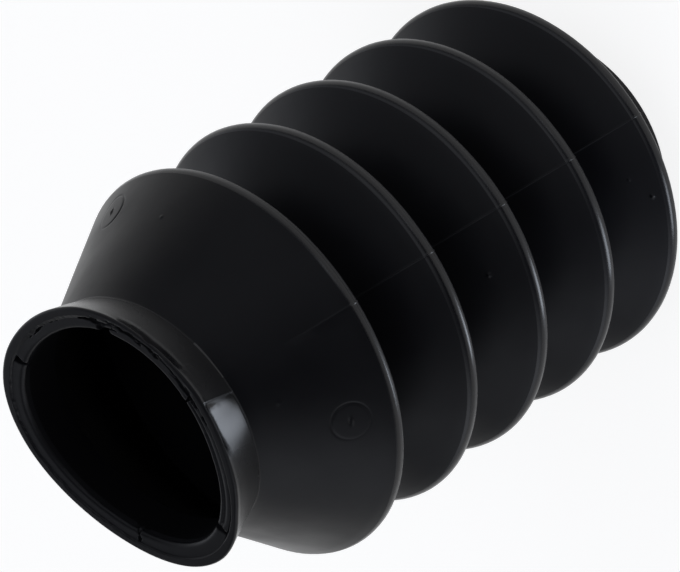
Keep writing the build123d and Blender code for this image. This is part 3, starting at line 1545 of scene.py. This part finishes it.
@dataclass(frozen=True)
class PaleCove:
    """A wide pale floor that curves up into a low wall all round."""

    colour: str = "#9a9a9a"
    glow: float = 0.84
    middle_radius: float = 800.0
    flat_radius: float = 2400.0
    wall_radius: float = 3000.0
    wall_height: float = 520.0
    curve_steps: int = 12
    sides: int = 96

    def dress(self, piece: bpy.types.Object) -> None:
        """Give the cove matt paper, which the camera and reflections see as white.

        The glow added for them lights nothing else, so the boot still casts its soft shadow.

        Args:
            piece: The cove.
        """
        made = bpy.data.materials.new("matt_paper_pale")
        tree = fresh_tree(made)
        path = add_node(tree, "ShaderNodeLightPath").outputs
        seen = path["Is Camera Ray"]
        for operation, other in (
            ("MAXIMUM", path["Is Glossy Ray"]),
            ("MAXIMUM", path["Is Transmission Ray"]),
            ("MULTIPLY", self.glow),
        ):
            step = add_node(tree, "ShaderNodeMath", {0: seen, 1: other}, operation=operation)
            seen = step.outputs[0]
        glow = add_node(tree, "ShaderNodeEmission", {"Strength": seen})
        paper = add_node(tree, "ShaderNodeBsdfDiffuse", {"Color": linear(self.colour)})
        both = add_node(tree, "ShaderNodeAddShader", {0: paper.outputs[0], 1: glow.outputs[0]})
        add_node(tree, "ShaderNodeOutputMaterial", {"Surface": both.outputs[0]})
        piece.data.materials.append(made)

    def build(self) -> bpy.types.Object:
        """Make the cove and give it its pale paper.

        Returns:
            The cove.
        """
        section = [(self.middle_radius, 0.0), (self.flat_radius, 0.0)]
        run = self.wall_radius - self.flat_radius
        for i in range(1, self.curve_steps + 1):
            t = math.radians(90 * i / self.curve_steps)
            height = self.wall_height * (1 - math.cos(t))
            section.append((self.flat_radius + run * math.sin(t), height))
        turns = [2 * math.pi * i / self.sides for i in range(self.sides)]
        mesh = bmesh.new()
        rows = []
        for radius, height in section:
            spots = [(radius * math.cos(t) * MM, radius * math.sin(t) * MM) for t in turns]
            rows.append([mesh.verts.new((*spot, height * MM)) for spot in spots])
        mesh.faces.new(rows[0])
        for low, high in zip(rows, rows[1:]):
            for i in range(self.sides):
                j = (i + 1) % self.sides
                mesh.faces.new((low[i], high[i], high[j], low[j]))
        made = smooth_object("pale_cove", mesh)
        self.dress(made)
        return made


@dataclass(frozen=True)
class LampBank:
    """A bank of diffused lamps far off beyond the cove's wall, seen as one soft glow."""

    azimuth: float
    elevation: float
    level: float
    spread: float

    def glow(
        self, tree: bpy.types.NodeTree, direction: bpy.types.NodeSocket
    ) -> bpy.types.NodeSocket:
        """Add the bank's glow to the world.

        Args:
            tree: The world's node tree.
            direction: The direction looked in.

        Returns:
            The glow's strength in that direction.
        """
        towards = heading(self.azimuth, self.elevation)
        facing = add_node(
            tree, "ShaderNodeVectorMath", {0: direction, 1: towards}, operation="DOT_PRODUCT"
        )
        strength = facing.outputs["Value"]
        # the glow has fallen to half at the spread's angle
        power = math.log(0.5) / math.log(math.cos(math.radians(self.spread)))
        for operation, other in (("MAXIMUM", 0.0), ("POWER", power), ("MULTIPLY", self.level)):
            step = add_node(tree, "ShaderNodeMath", {0: strength, 1: other}, operation=operation)
            strength = step.outputs[0]
        return strength


@dataclass(frozen=True)
class LowPanel:
    """A small lit panel that lies beside the boot and shows as a patch of light on the band."""

    middle: tuple[float, float, float] = (88.8, -81.3, 20.0)
    aim: tuple[float, float, float] = (28.0, -8.0, 139.0)
    width: float = 46.5
    level: float = 9.0
    colour: str = "#e8f1ff"

    def build(self) -> bpy.types.Object:
        """Make the panel as an area lamp that the camera doesn't see.

        Returns:
            The panel.
        """
        data = bpy.data.lights.new("low_panel", "AREA")
        data.shape, data.size = "SQUARE", self.width * MM
        data.energy = self.level * math.pi * (self.width * MM) ** 2
        data.color = linear(self.colour)[:3]
        made = linked("low_panel", data)
        towards = Vector(self.aim) - Vector(self.middle)
        turn = towards.to_track_quat("-Z", "Y").to_matrix().to_4x4()
        made.matrix_world = Matrix.Translation(Vector(self.middle) * MM) @ turn
        made.visible_camera = False
        return made


@dataclass(frozen=True)
class SoftRoom:
    """The room round the cove: dim, with banks of diffused lamps."""

    colour: str = "#f2f6ff"
    dim: float = 0.03
    banks: tuple[LampBank, ...] = (
        LampBank(-98.0, 28.0, 1.65, 22.0),
        LampBank(5.0, 58.0, 0.85, 17.0),
        LampBank(57.0, 41.0, 1.0, 20.0),
        LampBank(152.0, 11.0, 1.3, 27.0),
        LampBank(100.0, 33.0, 0.65, 13.0),
        LampBank(17.0, 9.0, 3.0, 7.0),
    )

    def build(self) -> None:
        """Make the world and give it to the scene."""
        world = bpy.data.worlds.new("soft_room")
        bpy.context.scene.world = world
        tree = fresh_tree(world)
        place = add_node(tree, "ShaderNodeTexCoord").outputs["Generated"]
        ahead = add_node(tree, "ShaderNodeVectorMath", {0: place}, operation="NORMALIZE")
        total = self.dim
        for bank in self.banks:
            glow = bank.glow(tree, ahead.outputs["Vector"])
            both = add_node(tree, "ShaderNodeMath", {0: glow, 1: total}, operation="ADD")
            total = both.outputs[0]
        light = add_node(
            tree, "ShaderNodeBackground", {"Color": linear(self.colour), "Strength": total}
        )
        add_node(tree, "ShaderNodeOutputWorld", {"Surface": light.outputs[0]})


def main() -> None:
    """Build the boot and the studio in order, and report each piece."""
    logging.basicConfig(level=logging.INFO, format="%(message)s")
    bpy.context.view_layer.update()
    mounts = {m["name"]: m for m in frame["record"]["mounts"]}
    bore = mounts["rear_bore"]["dims"]["r_mm"]
    axis = mounts["front_bore"]["axis"]
    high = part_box(NODE)[1]
    skin = BootSkin(
        folds=FoldStack(crest_radius=high.x / MM - RIDGE_ROOM),
        front=FrontCollar(bore_radius=bore),
        rear=RearCollar(bore_radius=bore),
        lean=math.atan2(-axis[1], axis[2]),
        marks=MARKS,
        seams=(PartingLine(0.0), PartingLine(180.0)),
    )
    made = skin.build()
    skin.dress(made)
    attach(made, BODY)
    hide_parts(NODE)
    log.info("%s: %d faces", made.name, len(made.data.polygons))

    Camera().build()
    cove = PaleCove().build()
    log.info("%s: %d faces", cove.name, len(cove.data.polygons))
    SoftRoom().build()
    LowPanel().build()
    bpy.context.scene.view_settings.view_transform = "Standard"


if __name__ == "__main__":
    main()
